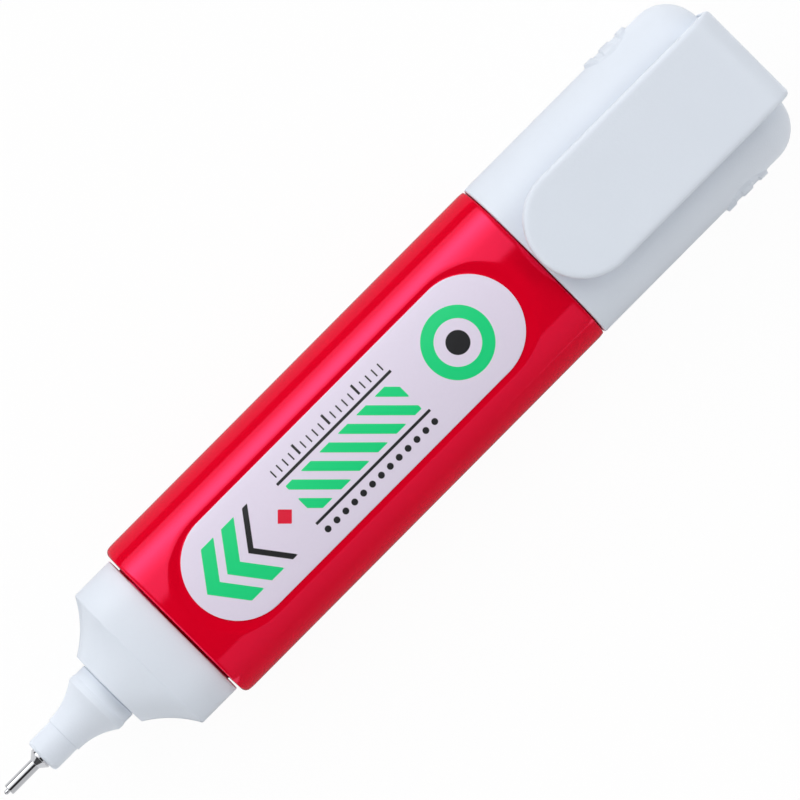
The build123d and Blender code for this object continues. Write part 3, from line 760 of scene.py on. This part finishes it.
class PEN_OT_nozzle(bpy.types.Operator):
    """Builds the oval shoulder with hollow flanks and the round nose cone."""

    bl_idname = "pen.nozzle"
    bl_label = "Nozzle"

    def execute(self, context):
        size = context.scene.pen_nozzle
        material = satin_white_polypropylene()
        shoulder = grid_mesh("nozzle_shoulder_moulding", self.shoulder_points(size), wrap_rows=True)
        add_piece(shoulder, material, "barrel", "white_plastic", "nozzle_shoulder")
        cone = turned_mesh("nose_cone_moulding", self.cone_profile(size), around=128)
        add_piece(cone, material, "barrel", "white_plastic", "nose_cone")
        return {"FINISHED"}

    @staticmethod
    def shoulder_points(size):
        """Rings of the shoulder.

        The flank's half width follows a hollow arc from the base to the round front, and its half depth
        changes in step with it, so that the oval runs over into a circle.
        """
        rear, front = SHOULDER_HIGH.x, SHOULDER_LOW.x
        flank = rear - size.base_length
        base = HALF_WIDTH - TAIL_INSET
        end = size.front_diameter / 2
        middle = math.atan2(base - end, flank - front)
        half_turn = size.flank_turn / 2
        arc_radius = math.hypot(base - end, flank - front) / (2 * math.sin(half_turn))
        angle = np.linspace(middle + half_turn, middle - half_turn, 25)[1:-1]
        arc_x = front + arc_radius * (np.sin(angle) - math.sin(middle - half_turn))
        arc_r = end + arc_radius * (math.cos(middle - half_turn) - np.cos(angle))
        corners = [(rear, HALF_WIDTH - SKIRT_INSET, 0), (rear, base, size.rear_round)]
        corners += [(flank, base, size.crease_round)]
        corners += [(x, r, 0) for x, r in zip(arc_x, arc_r)]
        corners += [(front, end, size.front_round), (front, SPIGOT_RADIUS, 0)]
        outer = held(rounded(corners))
        share = (outer[:, 1] - end) / (base - end)
        hollow = end + share * (HALF_DEPTH - TAIL_INSET - end)
        straight = outer[:, 1] - HALF_WIDTH + HALF_DEPTH
        deep = np.where(outer[:, 1] > end, np.where(outer[:, 0] > flank, straight, hollow), outer[:, 1])
        mouth = (HALF_WIDTH - MOUTH_INSET, HALF_DEPTH - MOUTH_INSET)
        skirt = (HALF_WIDTH - SKIRT_INSET, HALF_DEPTH - SKIRT_INSET)
        room = SPIGOT_RADIUS + 0.4 * MM
        inner = np.array([
            (front + size.spigot_grip, SPIGOT_RADIUS, SPIGOT_RADIUS),
            (front + size.spigot_grip, room, room),
            (BARREL_LOW.x - size.gasket, *mouth),
            (BARREL_LOW.x - size.gasket, *skirt),
        ])
        rows = np.concatenate([np.stack([outer[:, 0], outer[:, 1], deep], axis=1), inner])
        return oval_rings(rows[:, 0], rows[:, 1], rows[:, 2], oval_angles(40, 64))

    @staticmethod
    def cone_profile(size):
        """Profile of the nose: a straight end, a step, a flare along an arc and a ring with a groove.

        The flare's radius is (length^2 + rise^2) / (2 rise). The bores of tip, valve and seat follow inside.
        """
        nose, foot = CONE_LOW.x, SHOULDER_LOW.x
        ring = foot - size.ring_length
        step = ring - size.flare_length
        straight = size.nose_diameter / 2
        low = straight + size.nose_step
        wide = CONE_HIGH.y
        ring_radius = size.ring_diameter / 2
        rise = wide - low
        arc_radius = (size.flare_length**2 + rise**2) / (2 * rise)
        arc_x = np.linspace(step, ring, 19)
        arc_r = low + arc_radius - np.sqrt(arc_radius**2 - (arc_x - step) ** 2)
        groove, groove_bottom = foot - 0.15 * MM, ring_radius - 0.2 * MM
        ridge, ridge_slope, ridge_round = ring + size.ridge_width, 0.25 * MM, 0.12 * MM
        valve, seat = TIP_HIGH.x - 0.4 * MM, SEAT_LOW.x
        bore, chamber, seat_bore = TIP_SHANK_RADIUS + PRESS_GAP, 1.7 * MM, SEAT_HIGH.y + PRESS_GAP
        crease, step_round, groove_round = 0.04 * MM, 0.05 * MM, 0.06 * MM
        ring_round, spigot_round = 0.2 * MM, 0.2 * MM
        corners = [(nose, bore, 0), (nose, straight, size.nose_round), (step, straight, crease)]
        corners += [(step, low, step_round)] + [(x, r, 0) for x, r in zip(arc_x[1:-1], arc_r[1:-1])]
        corners += [(ring, wide, ring_round), (ridge, wide, ridge_round)]
        corners += [(ridge + ridge_slope, ring_radius, ridge_round)]
        corners += [(groove, ring_radius, groove_round), (groove, groove_bottom, 0), (foot, groove_bottom, 0)]
        corners += [(foot, SPIGOT_RADIUS, 0), (CONE_HIGH.x, SPIGOT_RADIUS, spigot_round)]
        corners += [(CONE_HIGH.x, seat_bore, 0), (seat, seat_bore, 0), (seat, chamber, 0)]
        corners += [(valve, chamber, 0), (valve, bore, 0)]
        return held(rounded(corners))


class PEN_OT_tip(bpy.types.Operator):
    """Builds the metal tube with its flared foot, and the needle that stands out of it."""

    bl_idname = "pen.tip"
    bl_label = "Metal tip"

    def execute(self, context):
        size = context.scene.pen_tip
        material = polished_stainless_steel()
        nose = CONE_LOW.x
        flange = nose - size.flange_thickness
        foot = flange - size.foot_length
        tube = size.tube_diameter / 2
        bore = size.tube_bore / 2
        wide = TIP_HIGH.y
        shank, shank_bore = TIP_SHANK_RADIUS, 0.6 * MM
        bore_start = flange - 0.5 * MM
        hold, mouth_round, edge_round = 0.02 * MM, 0.14 * MM, 0.05 * MM
        foot_round = 0.06 * MM
        profile = rounded([
            (bore_start, bore, 0),
            (TIP_LOW.x, bore, edge_round),
            (TIP_LOW.x, tube, mouth_round),
            (foot, tube, foot_round),
            (flange, wide, foot_round),
            (nose, wide, edge_round),
            (nose, shank, 0),
            (TIP_HIGH.x, shank, 0),
            (TIP_HIGH.x, shank_bore, 0),
            (flange, shank_bore, 0),
            (flange, bore, 0),
        ])
        tip = turned_mesh("metal_tip_tube", held(profile, hold), around=80)
        add_piece(tip, material, "barrel", "stainless_steel", "metal_tip")
        radius = NEEDLE_HIGH.y
        point = size.point_diameter / 2
        wire = held(rounded([
            (NEEDLE_LOW.x, 0, 0),
            (NEEDLE_LOW.x, point, 0.9 * point),
            (TIP_LOW.x, point, 0),
            (TIP_LOW.x + radius, radius, edge_round),
            (NEEDLE_HIGH.x, radius, 0),
            (NEEDLE_HIGH.x, 0, 0),
        ]), hold)
        wire = turned_mesh("needle_point", wire, around=48, wrap_rows=False)
        add_piece(wire, material, "needle", "stainless_steel", "needle_wire")
        return {"FINISHED"}


class PEN_OT_spring(bpy.types.Operator):
    """Builds the valve spring as a fixed coil. On the pen it shortens towards its seat as the needle is
    pressed.
    """

    bl_idname = "pen.spring"
    bl_label = "Valve spring"

    def execute(self, context):
        low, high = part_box("valve_spring")
        coil = grid_mesh("valve_spring_coil", self.coil_points(context.scene.pen_tip, low, high))
        steel = polished_stainless_steel()
        spring = add_piece(coil, steel, "barrel", "stainless_steel", "valve_spring")
        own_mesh(spring)
        return {"FINISHED"}

    @staticmethod
    def coil_points(size, low, high):
        """Rings of the wire along a helix, closed to a point at both ends.

        After the turn a, the helix is at (x + c a, r cos a, r sin a). The ring there is a circle about it, in
        the plane of the radius (0, cos a, sin a) and of the direction that is square to radius and helix.
        """
        rings_per_turn, wire_sides = 48, 16
        wire = size.spring_wire / 2
        radius = high.y - wire
        turn = np.linspace(0, 2 * math.pi * size.spring_turns, rings_per_turn * size.spring_turns + 1)
        turn = np.concatenate([turn[:1], turn, turn[-1:]])
        climb = (high.x - low.x - 2 * wire) / turn[-1]
        outward = np.stack([0 * turn, np.cos(turn), np.sin(turn)], axis=1)
        ahead = np.stack([climb + 0 * turn, -radius * np.sin(turn), radius * np.cos(turn)], axis=1)
        square = np.cross(ahead, outward) / math.hypot(climb, radius)
        middle = radius * outward
        middle += np.stack([low.x + wire + climb * turn, 0 * turn, AXIS_Z + 0 * turn], axis=1)
        round_wire = np.linspace(0, 2 * math.pi, wire_sides, endpoint=False)[:, None]
        ring = np.cos(round_wire) * outward[:, None] + np.sin(round_wire) * square[:, None]
        ring[[0, -1]] = 0
        return middle[:, None] + wire * ring


class PEN_OT_cap(bpy.types.Operator):
    """Builds the hollow cap with its finger grips, and the block that the clip bends over."""

    bl_idname = "pen.cap"
    bl_label = "Cap"

    def execute(self, context):
        size = context.scene.pen_cap
        material = satin_white_polypropylene()
        shell = grid_mesh("cap_moulding", self.shell_points(size))
        add_piece(shell, material, "cap", "white_plastic", "cap_shell")
        seat = grid_mesh("clip_seat_block", self.seat_points(size))
        add_piece(seat, material, "cap", "white_plastic")
        floor = CAP_HIGH.x - size.end_wall
        bore = INNER_CAP_HIGH.y + PRESS_GAP
        rim_round = 0.2 * MM
        ring = held(rounded([
            (floor, bore, 0),
            (floor - size.socket_depth, bore, rim_round),
            (floor - size.socket_depth, bore + size.socket_wall, rim_round),
            (floor, bore + size.socket_wall, 0),
        ]))
        socket = turned_mesh("inner_cap_socket", ring)
        add_piece(socket, material, "cap", "white_plastic")
        return {"FINISHED"}

    @staticmethod
    def shell_points(size):
        """Rings of the cap, from the middle of its closed end over the outside and the rim to its floor.

        The grips stand out along the surface by a ribbed lens.
        """
        lens_edge, rib_edge, inner_round = 0.25 * MM, 0.12 * MM, 0.1 * MM
        mouth, end = CAP_LOW.x, CAP_HIGH.x
        grip = end - size.grip_from_end
        grip_radius = size.grip_diameter / 2
        grip_reach = grip_radius + 0.3 * MM
        corners = [(end, size.end_round + inner_round, 0), (end, 0, size.end_round)]
        outer = rounded(corners + [(grip + grip_reach, 0, 0)], steps=24)
        ribbed = np.linspace(grip + grip_reach, grip - grip_reach, 90)[1:-1]
        ribbed = np.stack([ribbed, np.zeros(len(ribbed))], axis=1)
        rim = rounded([
            (grip - grip_reach, 0, 0),
            (mouth, 0, size.mouth_round),
            (mouth, CAP_WALL, inner_round),
            (end - size.end_wall, CAP_WALL, size.end_round - CAP_WALL),
            (end - size.end_wall, size.end_round + 0.2 * MM, 0),
        ])
        profile = np.concatenate([outer, ribbed, held(rim)])
        inner_end = end - size.end_wall
        end_rows = [end, end]
        x = np.concatenate([end_rows, profile[:, 0], [inner_end]])
        half = (HALF_WIDTH - size.end_round, HALF_DEPTH - size.end_round)
        across = np.concatenate([[0, half[0] / 2], HALF_WIDTH - profile[:, 1], [0]])
        deep = np.concatenate([[0, half[1] / 2], HALF_DEPTH - profile[:, 1], [0]])
        angles = oval_angles(28, 110)
        points = oval_rings(x, across, deep, angles)
        along = points[..., 0] - grip
        up = points[..., 2] - AXIS_Z
        lens = soft_step(np.hypot(along, up), grip_radius, grip_radius - lens_edge)
        half_rib = size.grip_rib_width / 2
        off_rib = np.abs(repeated(along, size.grip_pitch))
        rib = soft_step(off_rib, half_rib + rib_edge, half_rib - rib_edge)
        outside = np.arange(len(x)) < len(end_rows) + len(outer) + len(ribbed)
        proud = lens * (size.grip_floor + (size.grip_rib - size.grip_floor) * rib) * outside[:, None]
        points[..., 1] += proud * np.cos(angles)
        points[..., 2] += proud * np.sin(angles)
        return points

    @staticmethod
    def seat_points(size):
        """Block across the cap: its side outline, with a round rear corner, carried along Y.

        A small round draws it in at both ends: by e (1 - cos a) along Y and by e (1 - sin a) all round.
        """
        block_length, corner, edge, side_inset = 3.5 * MM, 0.3 * MM, 0.15 * MM, 0.15 * MM
        low, high = CAP_HIGH.x - block_length, CAP_HIGH.x
        under = CLIP_HIGH.z - size.clip_thickness - CLIP_GAP
        outline = held(rounded([
            (low, AXIS_Z, 0),
            (low, under, corner),
            (high, under, size.clip_inner_bend + corner),
            (high, AXIS_Z, 0),
        ]))
        half = CLIP_HIGH.y - side_inset
        swing = np.linspace(0, math.pi / 2, 7)
        along_y = edge * (1 - np.cos(swing))
        all_round = edge * (1 - np.sin(swing))
        y = np.concatenate([[half], half - along_y, along_y[::-1] - half, [-half]])
        shrink = np.concatenate([[1], all_round, all_round[::-1], [1]])
        centre = np.array([(low + high) / 2, (under + AXIS_Z) / 2])
        half_box = np.array([(high - low) / 2, (under - AXIS_Z) / 2])
        scale = 1 - shrink[:, None, None] / half_box
        scale[[0, -1]] = 0
        flat = centre + (outline - centre) * scale
        return np.stack([flat[..., 0], np.broadcast_to(y[:, None], flat.shape[:2]), flat[..., 1]], axis=-1)


class PEN_OT_clip(bpy.types.Operator):
    """Builds the pocket clip: an arm with a half-oval tip and round edges that bends down behind the cap."""

    bl_idname = "pen.clip"
    bl_label = "Clip"

    def execute(self, context):
        mesh = grid_mesh("pocket_clip_arm", self.clip_points(context.scene.pen_cap))
        add_piece(mesh, satin_white_polypropylene(), "clip", "white_plastic", "pocket_clip")
        return {"FINISHED"}

    @staticmethod
    def bent_line(way, top, run, radius):
        """Place on a side line after some way along it: a run along X, a quarter circle and a run down."""
        angle = np.clip((way - run) / radius, 0, math.pi / 2)
        x = CLIP_LOW.x + np.minimum(way, run) + radius * np.sin(angle)
        z = top - radius * (1 - np.cos(angle)) - np.maximum(way - run - radius * math.pi / 2, 0)
        return np.stack([x, z], axis=-1)

    @classmethod
    def clip_points(cls, size):
        """Rings of the clip, drawn flat and then bent.

        Flat, the outline is a half oval and two straight sides up to a round corner. A ring lies inside it
        by inset and below the outer face, or above the inner one, by sink. A round edge has inset =
        w (1 - sin a) and sink = d (1 - cos a), with w its width and d its depth. Bent, the way along the clip
        runs along an outer and an inner side line, and a point lies between the two. A half-round bead hangs
        below the tip.
        """
        half = CLIP_HIGH.y
        tip = size.clip_tip
        top, low = CLIP_HIGH.z, CLIP_LOW.z
        under = top - size.clip_thickness
        bend, inner_bend = size.clip_bend, size.clip_inner_bend
        arm = CLIP_HIGH.x - bend - CLIP_LOW.x
        inner_arm = CAP_HIGH.x + CLIP_GAP - inner_bend - CLIP_LOW.x
        stops = np.cumsum([0, arm, bend * math.pi / 2, top - bend - low])
        inner_turn = inner_arm - arm + inner_bend * math.pi / 2
        inner_stops = np.cumsum([0, arm, inner_turn, under - inner_bend - low])
        whole = stops[-1]
        corner = size.clip_corner

        bead_end = tip + 2.4 * MM
        swing = np.linspace(0, math.pi / 2, 49)
        sides = np.concatenate([
            np.linspace(tip, bead_end, 18)[1:],
            np.linspace(bead_end, arm, 24)[1:],
            np.linspace(arm, stops[2], 25)[1:],
            np.linspace(stops[2], whole - corner, 9)[1:-1],
        ])
        turn = swing[::6]
        way = np.concatenate([tip * (1 - np.cos(swing)), sides, whole - corner * (1 - np.sin(turn)), [whole]])
        across = np.concatenate([
            half * np.sin(swing), np.full(len(sides), half), half - corner * (1 - np.cos(turn)), [0]
        ])
        way = np.concatenate([way, way[::-1]])
        across = np.concatenate([across, -across[::-1]])
        draw_in = np.maximum(1 - way / tip, 0) - np.maximum(way - whole + corner, 0) / corner

        edge = np.linspace(0, math.pi / 2, 9)[:, None]
        on_bend = soft_step(way, arm, stops[2])
        rim = size.clip_rim + (size.clip_bend_rim - size.clip_rim) * on_bend
        rim_depth = size.clip_rim_depth + (size.clip_bend_rim - size.clip_rim_depth) * on_bend
        lower_rim = np.full_like(rim, 0.15 * MM)
        hold = 0.06 * MM
        on_top = [0, 0.5, 1]
        below = [1, 0.76, 0.7, 0.35, 0]
        upper_inset = np.concatenate([[rim + hold] * len(on_top), rim * (1 - np.sin(edge))])
        upper_sink = np.concatenate([[rim * 0] * len(on_top), rim_depth * (1 - np.cos(edge))])
        lower_inset = np.concatenate([lower_rim * (1 - np.sin(edge[::-1])), [lower_rim + hold] * len(below)])
        lower_sink = np.concatenate([lower_rim * (1 - np.cos(edge[::-1])), [lower_rim * 0] * len(below)])
        narrow = np.array(on_top + [1] * 2 * len(edge) + below)[:, None]
        inset = np.concatenate([upper_inset, lower_inset])
        y = across * (1 - inset / half) * narrow
        way = way + inset * draw_in
        outer = cls.bent_line(way, top, arm, bend)
        inner = cls.bent_line(np.interp(way, stops, inner_stops), under, inner_arm, inner_bend)
        thick = np.linalg.norm(outer - inner, axis=-1)
        upper = len(upper_sink)
        share = np.concatenate([upper_sink / thick[:upper], 1 - lower_sink / thick[upper:]])[..., None]
        place = outer + (inner - outer) * share
        bead_radius, bead_rise = size.clip_bead_radius, size.clip_bead_radius - size.clip_bead
        bead = np.sqrt(np.maximum(bead_radius**2 - (way - tip) ** 2, bead_rise**2)) - bead_rise
        bead_side, bead_level = half - 1.8 * MM, half - 2.2 * MM
        bead = bead * soft_step(np.abs(y), bead_side, bead_level)
        bead[: -len(below)] = 0
        return np.stack([place[..., 0], y, place[..., 1] - bead], axis=-1)


class PEN_OT_inner_pieces(bpy.types.Operator):
    """Gives the pieces inside the pen their materials."""

    bl_idname = "pen.inner_pieces"
    bl_label = "Inner pieces"

    def execute(self, context):
        steel = polished_stainless_steel()
        natural = natural_polyethylene()
        rubber = nitrile_rubber()
        finishes = {
            "needle_plunger": natural,
            "spring_seat": natural,
            "inner_cap": natural,
            "neck_gasket": rubber,
            "tip_pad": rubber,
            "mixing_ball": steel,
        }
        for node, material in finishes.items():
            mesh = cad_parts[node].data
            mesh.materials.clear()
            mesh.materials.append(material)
        return {"FINISHED"}


class PEN_OT_stage(bpy.types.Operator):
    """Builds the pale floor, the cards for reflections, the soft dome of light and the camera."""

    bl_idname = "pen.stage"
    bl_label = "Stage"

    def execute(self, context):
        size = context.scene.pen_stage
        context.scene.view_settings.view_transform = "Standard"
        self.add_floor(context, size)
        self.add_cards(context, size)
        self.add_dome(context, size)
        self.add_camera(context, size)
        return {"FINISHED"}

    @staticmethod
    def add_floor(context, size):
        """Flat pale floor, which the camera and mirrors see lifted towards white. It keeps the shadow."""
        side = np.linspace(-size.floor_half_size, size.floor_half_size, 9)
        x, y = np.meshgrid(side, side, indexing="ij")
        mesh = grid_mesh("floor", np.stack([x, y, np.zeros_like(x)], axis=-1), wrap_columns=False)
        floor = bpy.data.objects.new("floor", mesh)
        context.scene.collection.objects.link(floor)
        material = bpy.data.materials.new("glowing_white_paper")
        tree = empty_tree(material)
        paper = add_node(tree, "ShaderNodeBsdfDiffuse", {"Color": [*size.floor, 1]})
        white = add_node(tree, "ShaderNodeEmission", {"Color": [1, 1, 1, 1], "Strength": 1.0})
        path = add_node(tree, "ShaderNodeLightPath")
        seen = path.outputs["Is Camera Ray"]
        for ray in ("Is Glossy Ray", "Is Transmission Ray"):
            either = add_node(tree, "ShaderNodeMath", {"operation": "MAXIMUM"}, _0=seen, _1=path.outputs[ray])
            seen = either.outputs[0]
        lift = add_node(tree, "ShaderNodeMath", {"operation": "MULTIPLY", 1: size.floor_lift}, _0=seen)
        lift = lift.outputs[0]
        mix = add_node(tree, "ShaderNodeMixShader", _0=lift, _1=paper.outputs[0], _2=white.outputs[0])
        add_node(tree, "ShaderNodeOutputMaterial", Surface=mix.outputs[0])
        mesh.materials.append(material)

    @staticmethod
    def add_cards(context, size):
        """Grey cards that glow with their colour and only reflections show: painted reflections, which light
        nothing.

        Two lie flat under the barrel and paint the floor darker in its reflections, one stands along the
        pen's +Y side and paints a dark band on the barrel's +Y edge, and a small pale one at the metal tip's
        -Y side paints a light reflection on the tube. A card is a line of two points (y, z), carried along X
        between its ends.
        """
        away = size.card_distance
        beneath = (BARREL_FRONT - away / 2, BARREL_REAR + away)
        along_pen = (NEEDLE_LOW.x - away, CLIP_HIGH.x + away)
        along_tip = (NEEDLE_LOW.x - MM, CONE_LOW.x)
        beside = -size.tip_card_distance
        low = 0.2 * MM
        # Painted reflections: the floor's shade beside the barrel, a dark band at its +Y edge and a pale side
        # for the tip
        cards = {
            "flat_card": (beneath, [(-size.card_reach, low), (size.card_edge, low)]),
            "side_card": (beneath, [(size.card_edge, low), (size.card_reach, low)]),
            "upright_card": (along_pen, [(away, size.card_foot), (away, size.card_rise)]),
            "tip_card": (along_tip, [(beside, low), (beside, size.tip_card_rise)]),
        }
        for name, (ends, section) in cards.items():
            x = np.linspace(*ends, 5)[:, None]
            y, z = np.array(section).T
            mesh = grid_mesh(name, np.stack(np.broadcast_arrays(x, y, z), axis=-1), wrap_columns=False)
            card = bpy.data.objects.new(name, mesh)
            context.scene.collection.objects.link(card)
            # Only glossy rays see a card, and it glows with its colour: a painted reflection
            for kind in ("camera", "diffuse", "transmission", "volume_scatter", "shadow"):
                setattr(card, "visible_" + kind, False)
            material = bpy.data.materials.new("glowing_" + name)
            tree = empty_tree(material)
            grey = add_node(tree, "ShaderNodeEmission", {"Color": [*getattr(size, name), 1], "Strength": 1.0})
            add_node(tree, "ShaderNodeOutputMaterial", Surface=grey.outputs[0])
            mesh.materials.append(material)

    @staticmethod
    def level_ramp(tree, value, low, high, levels):
        """Grey levels at given places of a value that runs from low to high."""
        span = {"From Min": low, "From Max": high, "To Min": 0.0, "To Max": 1.0}
        place = add_node(tree, "ShaderNodeMapRange", span, Value=value)
        ramp = add_node(tree, "ShaderNodeValToRGB", Fac=place.outputs["Result"])
        elements = ramp.color_ramp.elements
        elements.remove(elements[1])
        for i, (key, level) in enumerate(levels.items()):
            position = (key - low) / (high - low)
            element = elements.new(position) if i else elements[0]
            element.position = position
            element.color = (level, level, level, 1)
        return ramp.outputs["Color"]

    @classmethod
    def add_dome(cls, context, size):
        """Soft dome: a large bright box towards +Y, a dark strip overhead and a weak fill towards -Y.

        The light depends on the angle from overhead towards +Y, atan2(y, z), in degrees. One run of levels
        holds across the pen, in a window of X, and a plainer one towards both ends of X, and it all fades
        near the ends. The camera sees plain white beyond the floor.
        """
        world = bpy.data.worlds.new("soft_dome")
        context.scene.world = world
        tree = empty_tree(world)
        way = add_node(tree, "ShaderNodeTexCoord").outputs["Generated"]
        part = add_node(tree, "ShaderNodeSeparateXYZ", Vector=way)
        up, side = part.outputs["Z"], part.outputs["Y"]
        lean = add_node(tree, "ShaderNodeMath", {"operation": "ARCTAN2"}, _0=side, _1=up)
        lean = add_node(tree, "ShaderNodeMath", {"operation": "DEGREES"}, _0=lean.outputs[0]).outputs[0]
        box = {9.6: 0.01, 11.2: 0.25, 20: 0.29, 33: 0.41, 41: 0.55, 52: 0.78}
        box |= {58: 0.87, 64: 0.78, 74: 0.46, 78: 0.28, 90: 0.18}
        fill = {-90: 0.06, -60: 0.11, -36: 0.125, -32: 0.01}
        ends = {-90: 0.9, -45: 0.7, -20: 0.95, 0: 1, 20: 0.95, 40: 0.75, 90: 0.75}
        across = cls.level_ramp(tree, lean, -180, 180, fill | box)
        along = cls.level_ramp(tree, lean, -180, 180, ends)
        window = cls.level_ramp(tree, part.outputs["X"], -1, 1, {-0.36: 0.1, -0.29: 1, 0.24: 1, 0.32: 0.1})
        share = cls.level_ramp(tree, part.outputs["X"], -1, 1, {-0.55: 1, -0.42: 0, 0.42: 0, 0.55: 1})
        fade = cls.level_ramp(tree, part.outputs["X"], -1, 1, {-0.72: 0.03, -0.58: 1, 0.56: 1, 0.71: 0.1})
        times = {"data_type": "RGBA", "blend_type": "MULTIPLY", "Factor": 1.0}
        across = add_node(tree, "ShaderNodeMix", times, _6=across, _7=window).outputs[MIX_RESULT]
        light = add_node(tree, "ShaderNodeMix", {"data_type": "RGBA"}, Factor=share, _6=across, _7=along)
        light = add_node(tree, "ShaderNodeMix", times, _6=light.outputs[MIX_RESULT], _7=fade)
        light = light.outputs[MIX_RESULT]
        dome = add_node(tree, "ShaderNodeBackground", {"Strength": size.light}, Color=light)
        white = add_node(tree, "ShaderNodeBackground", {"Color": [1, 1, 1, 1], "Strength": 1.0})
        seen = add_node(tree, "ShaderNodeLightPath").outputs["Is Camera Ray"]
        mix = add_node(tree, "ShaderNodeMixShader", _0=seen, _1=dome.outputs[0], _2=white.outputs[0])
        add_node(tree, "ShaderNodeOutputWorld", Surface=mix.outputs[0])

    @staticmethod
    def add_camera(context, size):
        """Camera above the pen. Its sides are turned from the pen's axis by the roll."""
        aim = Vector((size.aim_x, size.aim_y, AXIS_Z))
        place = Vector((size.camera_x, size.camera_y, AXIS_Z + size.camera_height))
        back = (place - aim).normalized()
        along = (Vector((1, 0, 0)) - back * back.x).normalized()
        across = back.cross(along)
        right = along * math.cos(size.roll) - across * math.sin(size.roll)
        up = along * math.sin(size.roll) + across * math.cos(size.roll)
        data = bpy.data.cameras.new("camera")
        data.lens = data.sensor_width * (place - aim).length / size.view_width
        data.clip_end = 100
        camera = bpy.data.objects.new("camera", data)
        context.scene.collection.objects.link(camera)
        camera.matrix_world = Matrix.Translation(place) @ Matrix((right, up, back)).transposed().to_4x4()
        context.scene.camera = camera


OPERATORS = (
    PEN_OT_barrel,
    PEN_OT_labels,
    PEN_OT_nozzle,
    PEN_OT_tip,
    PEN_OT_spring,
    PEN_OT_cap,
    PEN_OT_clip,
    PEN_OT_inner_pieces,
    PEN_OT_stage,
)
SETTINGS = {
    "pen_barrel": BarrelSettings,
    "pen_label": LabelSettings,
    "pen_nozzle": NozzleSettings,
    "pen_tip": TipSettings,
    "pen_cap": CapSettings,
    "pen_stage": StageSettings,
}


class PEN_PT_sidebar(bpy.types.Panel):
    """Lists the pen's pieces and their settings."""

    bl_label = "Correction pen"
    bl_idname = "PEN_PT_sidebar"
    bl_space_type = "VIEW_3D"
    bl_region_type = "UI"
    bl_category = "Pen"

    def draw(self, context):
        for operator in OPERATORS:
            self.layout.operator(operator.bl_idname)
        for name, group in SETTINGS.items():
            box = self.layout.box()
            for key in group.__annotations__:
                box.prop(getattr(context.scene, name), key)


def register():
    """Registers the settings, the operators and the panel."""
    for name, group in SETTINGS.items():
        bpy.utils.register_class(group)
        setattr(bpy.types.Scene, name, PointerProperty(type=group))
    for cls in (*OPERATORS, PEN_PT_sidebar):
        bpy.utils.register_class(cls)


def unregister():
    """Takes out what register put in."""
    for cls in (PEN_PT_sidebar, *reversed(OPERATORS)):
        bpy.utils.unregister_class(cls)
    for name, group in SETTINGS.items():
        delattr(bpy.types.Scene, name)
        bpy.utils.unregister_class(group)


def main():
    register()
    bpy.ops.pen.barrel()
    bpy.ops.pen.labels()
    bpy.ops.pen.nozzle()
    bpy.ops.pen.tip()
    bpy.ops.pen.spring()
    bpy.ops.pen.cap()
    bpy.ops.pen.clip()
    bpy.ops.pen.inner_pieces()
    bpy.ops.pen.stage()


if __name__ == "__main__":
    main()
